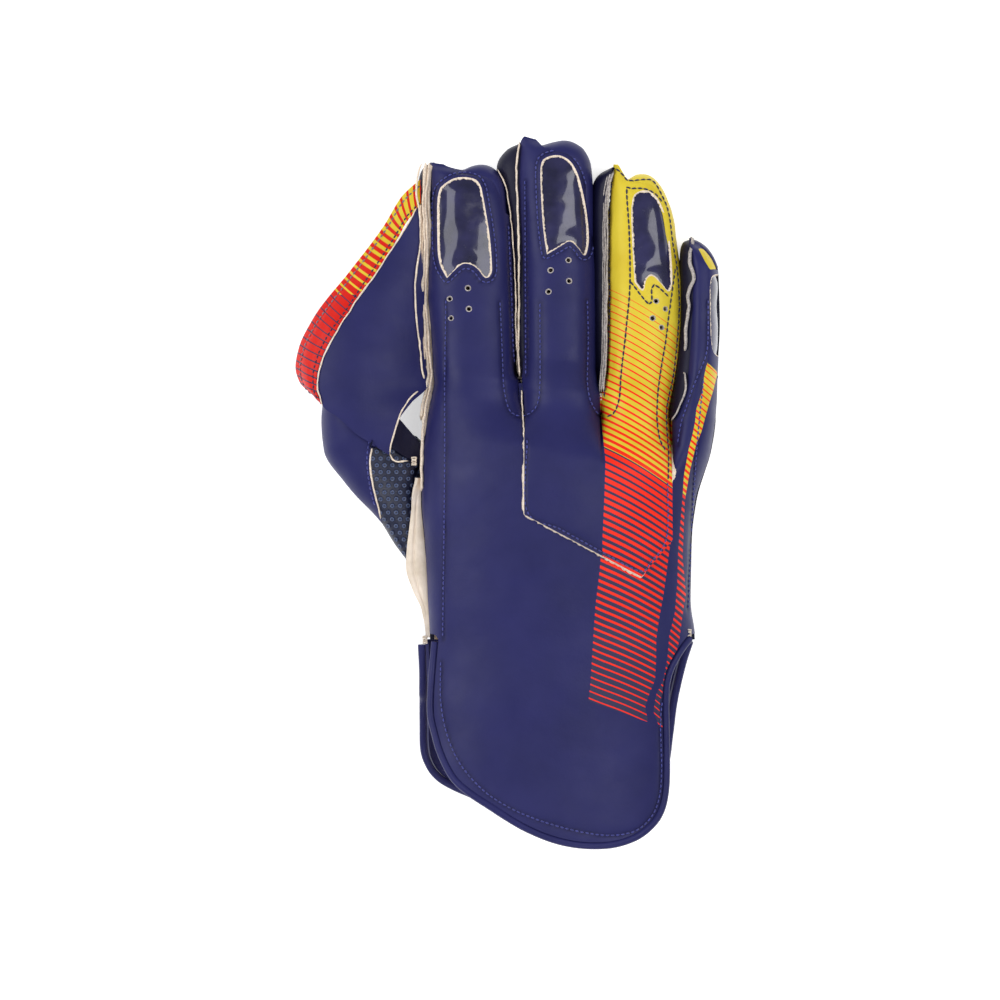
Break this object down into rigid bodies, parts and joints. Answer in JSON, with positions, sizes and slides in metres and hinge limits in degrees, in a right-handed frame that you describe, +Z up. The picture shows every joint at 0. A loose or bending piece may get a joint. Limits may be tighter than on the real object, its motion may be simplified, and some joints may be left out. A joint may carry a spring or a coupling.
{
  "type": "wicketkeeping glove",
  "caption": "Leather wicketkeeping glove for a right hand, with rubber-faced palm, windowed fingertips, a web beside the thumb and a flared cuff, lying on its palm",
  "frame": {"origin": "centre of the bounding box at the surface it lies on", "axes": "+X from the thumb to the little finger, +Y from the cuff to the fingertips, +Z up out of the back of the hand"},
  "size_m": [0.1916, 0.3208, 0.0563],
  "materials": {
    "navy_leather": "smooth navy leather with a soft sheen",
    "navy_piping": "rolled navy leather binding",
    "yellow_leather": "bright yellow leather",
    "red_leather": "red leather with yellow and navy stripes",
    "cream_edge": "raw cut edges of cream leather",
    "cream_lining": "soft cream lining",
    "window_film": "glossy dark film",
    "pimpled_rubber": "dark navy pimpled rubber"
  },
  "bodies": {
    "root": {"back_panel": "navy_leather", "finger_overlay": "navy_leather", "palm_shell": "navy_leather", "palm_flap": "navy_leather", "palm_rubber": "pimpled_rubber", "thumb_back": "navy_leather", "thumb_front": "pimpled_rubber", "web_panel": "navy_leather", "web_binding": "red_leather", "index_welt": "cream_edge", "middle_welt": "cream_edge", "ring_welt": "cream_edge", "little_welt": "cream_edge", "side_lining": "cream_lining", "back_piping": "navy_piping", "palm_piping": "navy_piping", "index_window": "window_film", "index_shell": "navy_leather", "middle_window": "window_film", "middle_shell": "navy_leather", "ring_window": "window_film", "ring_shell": "yellow_leather", "little_window": "window_film", "little_shell": "navy_leather"}
  },
  "joints": []
}
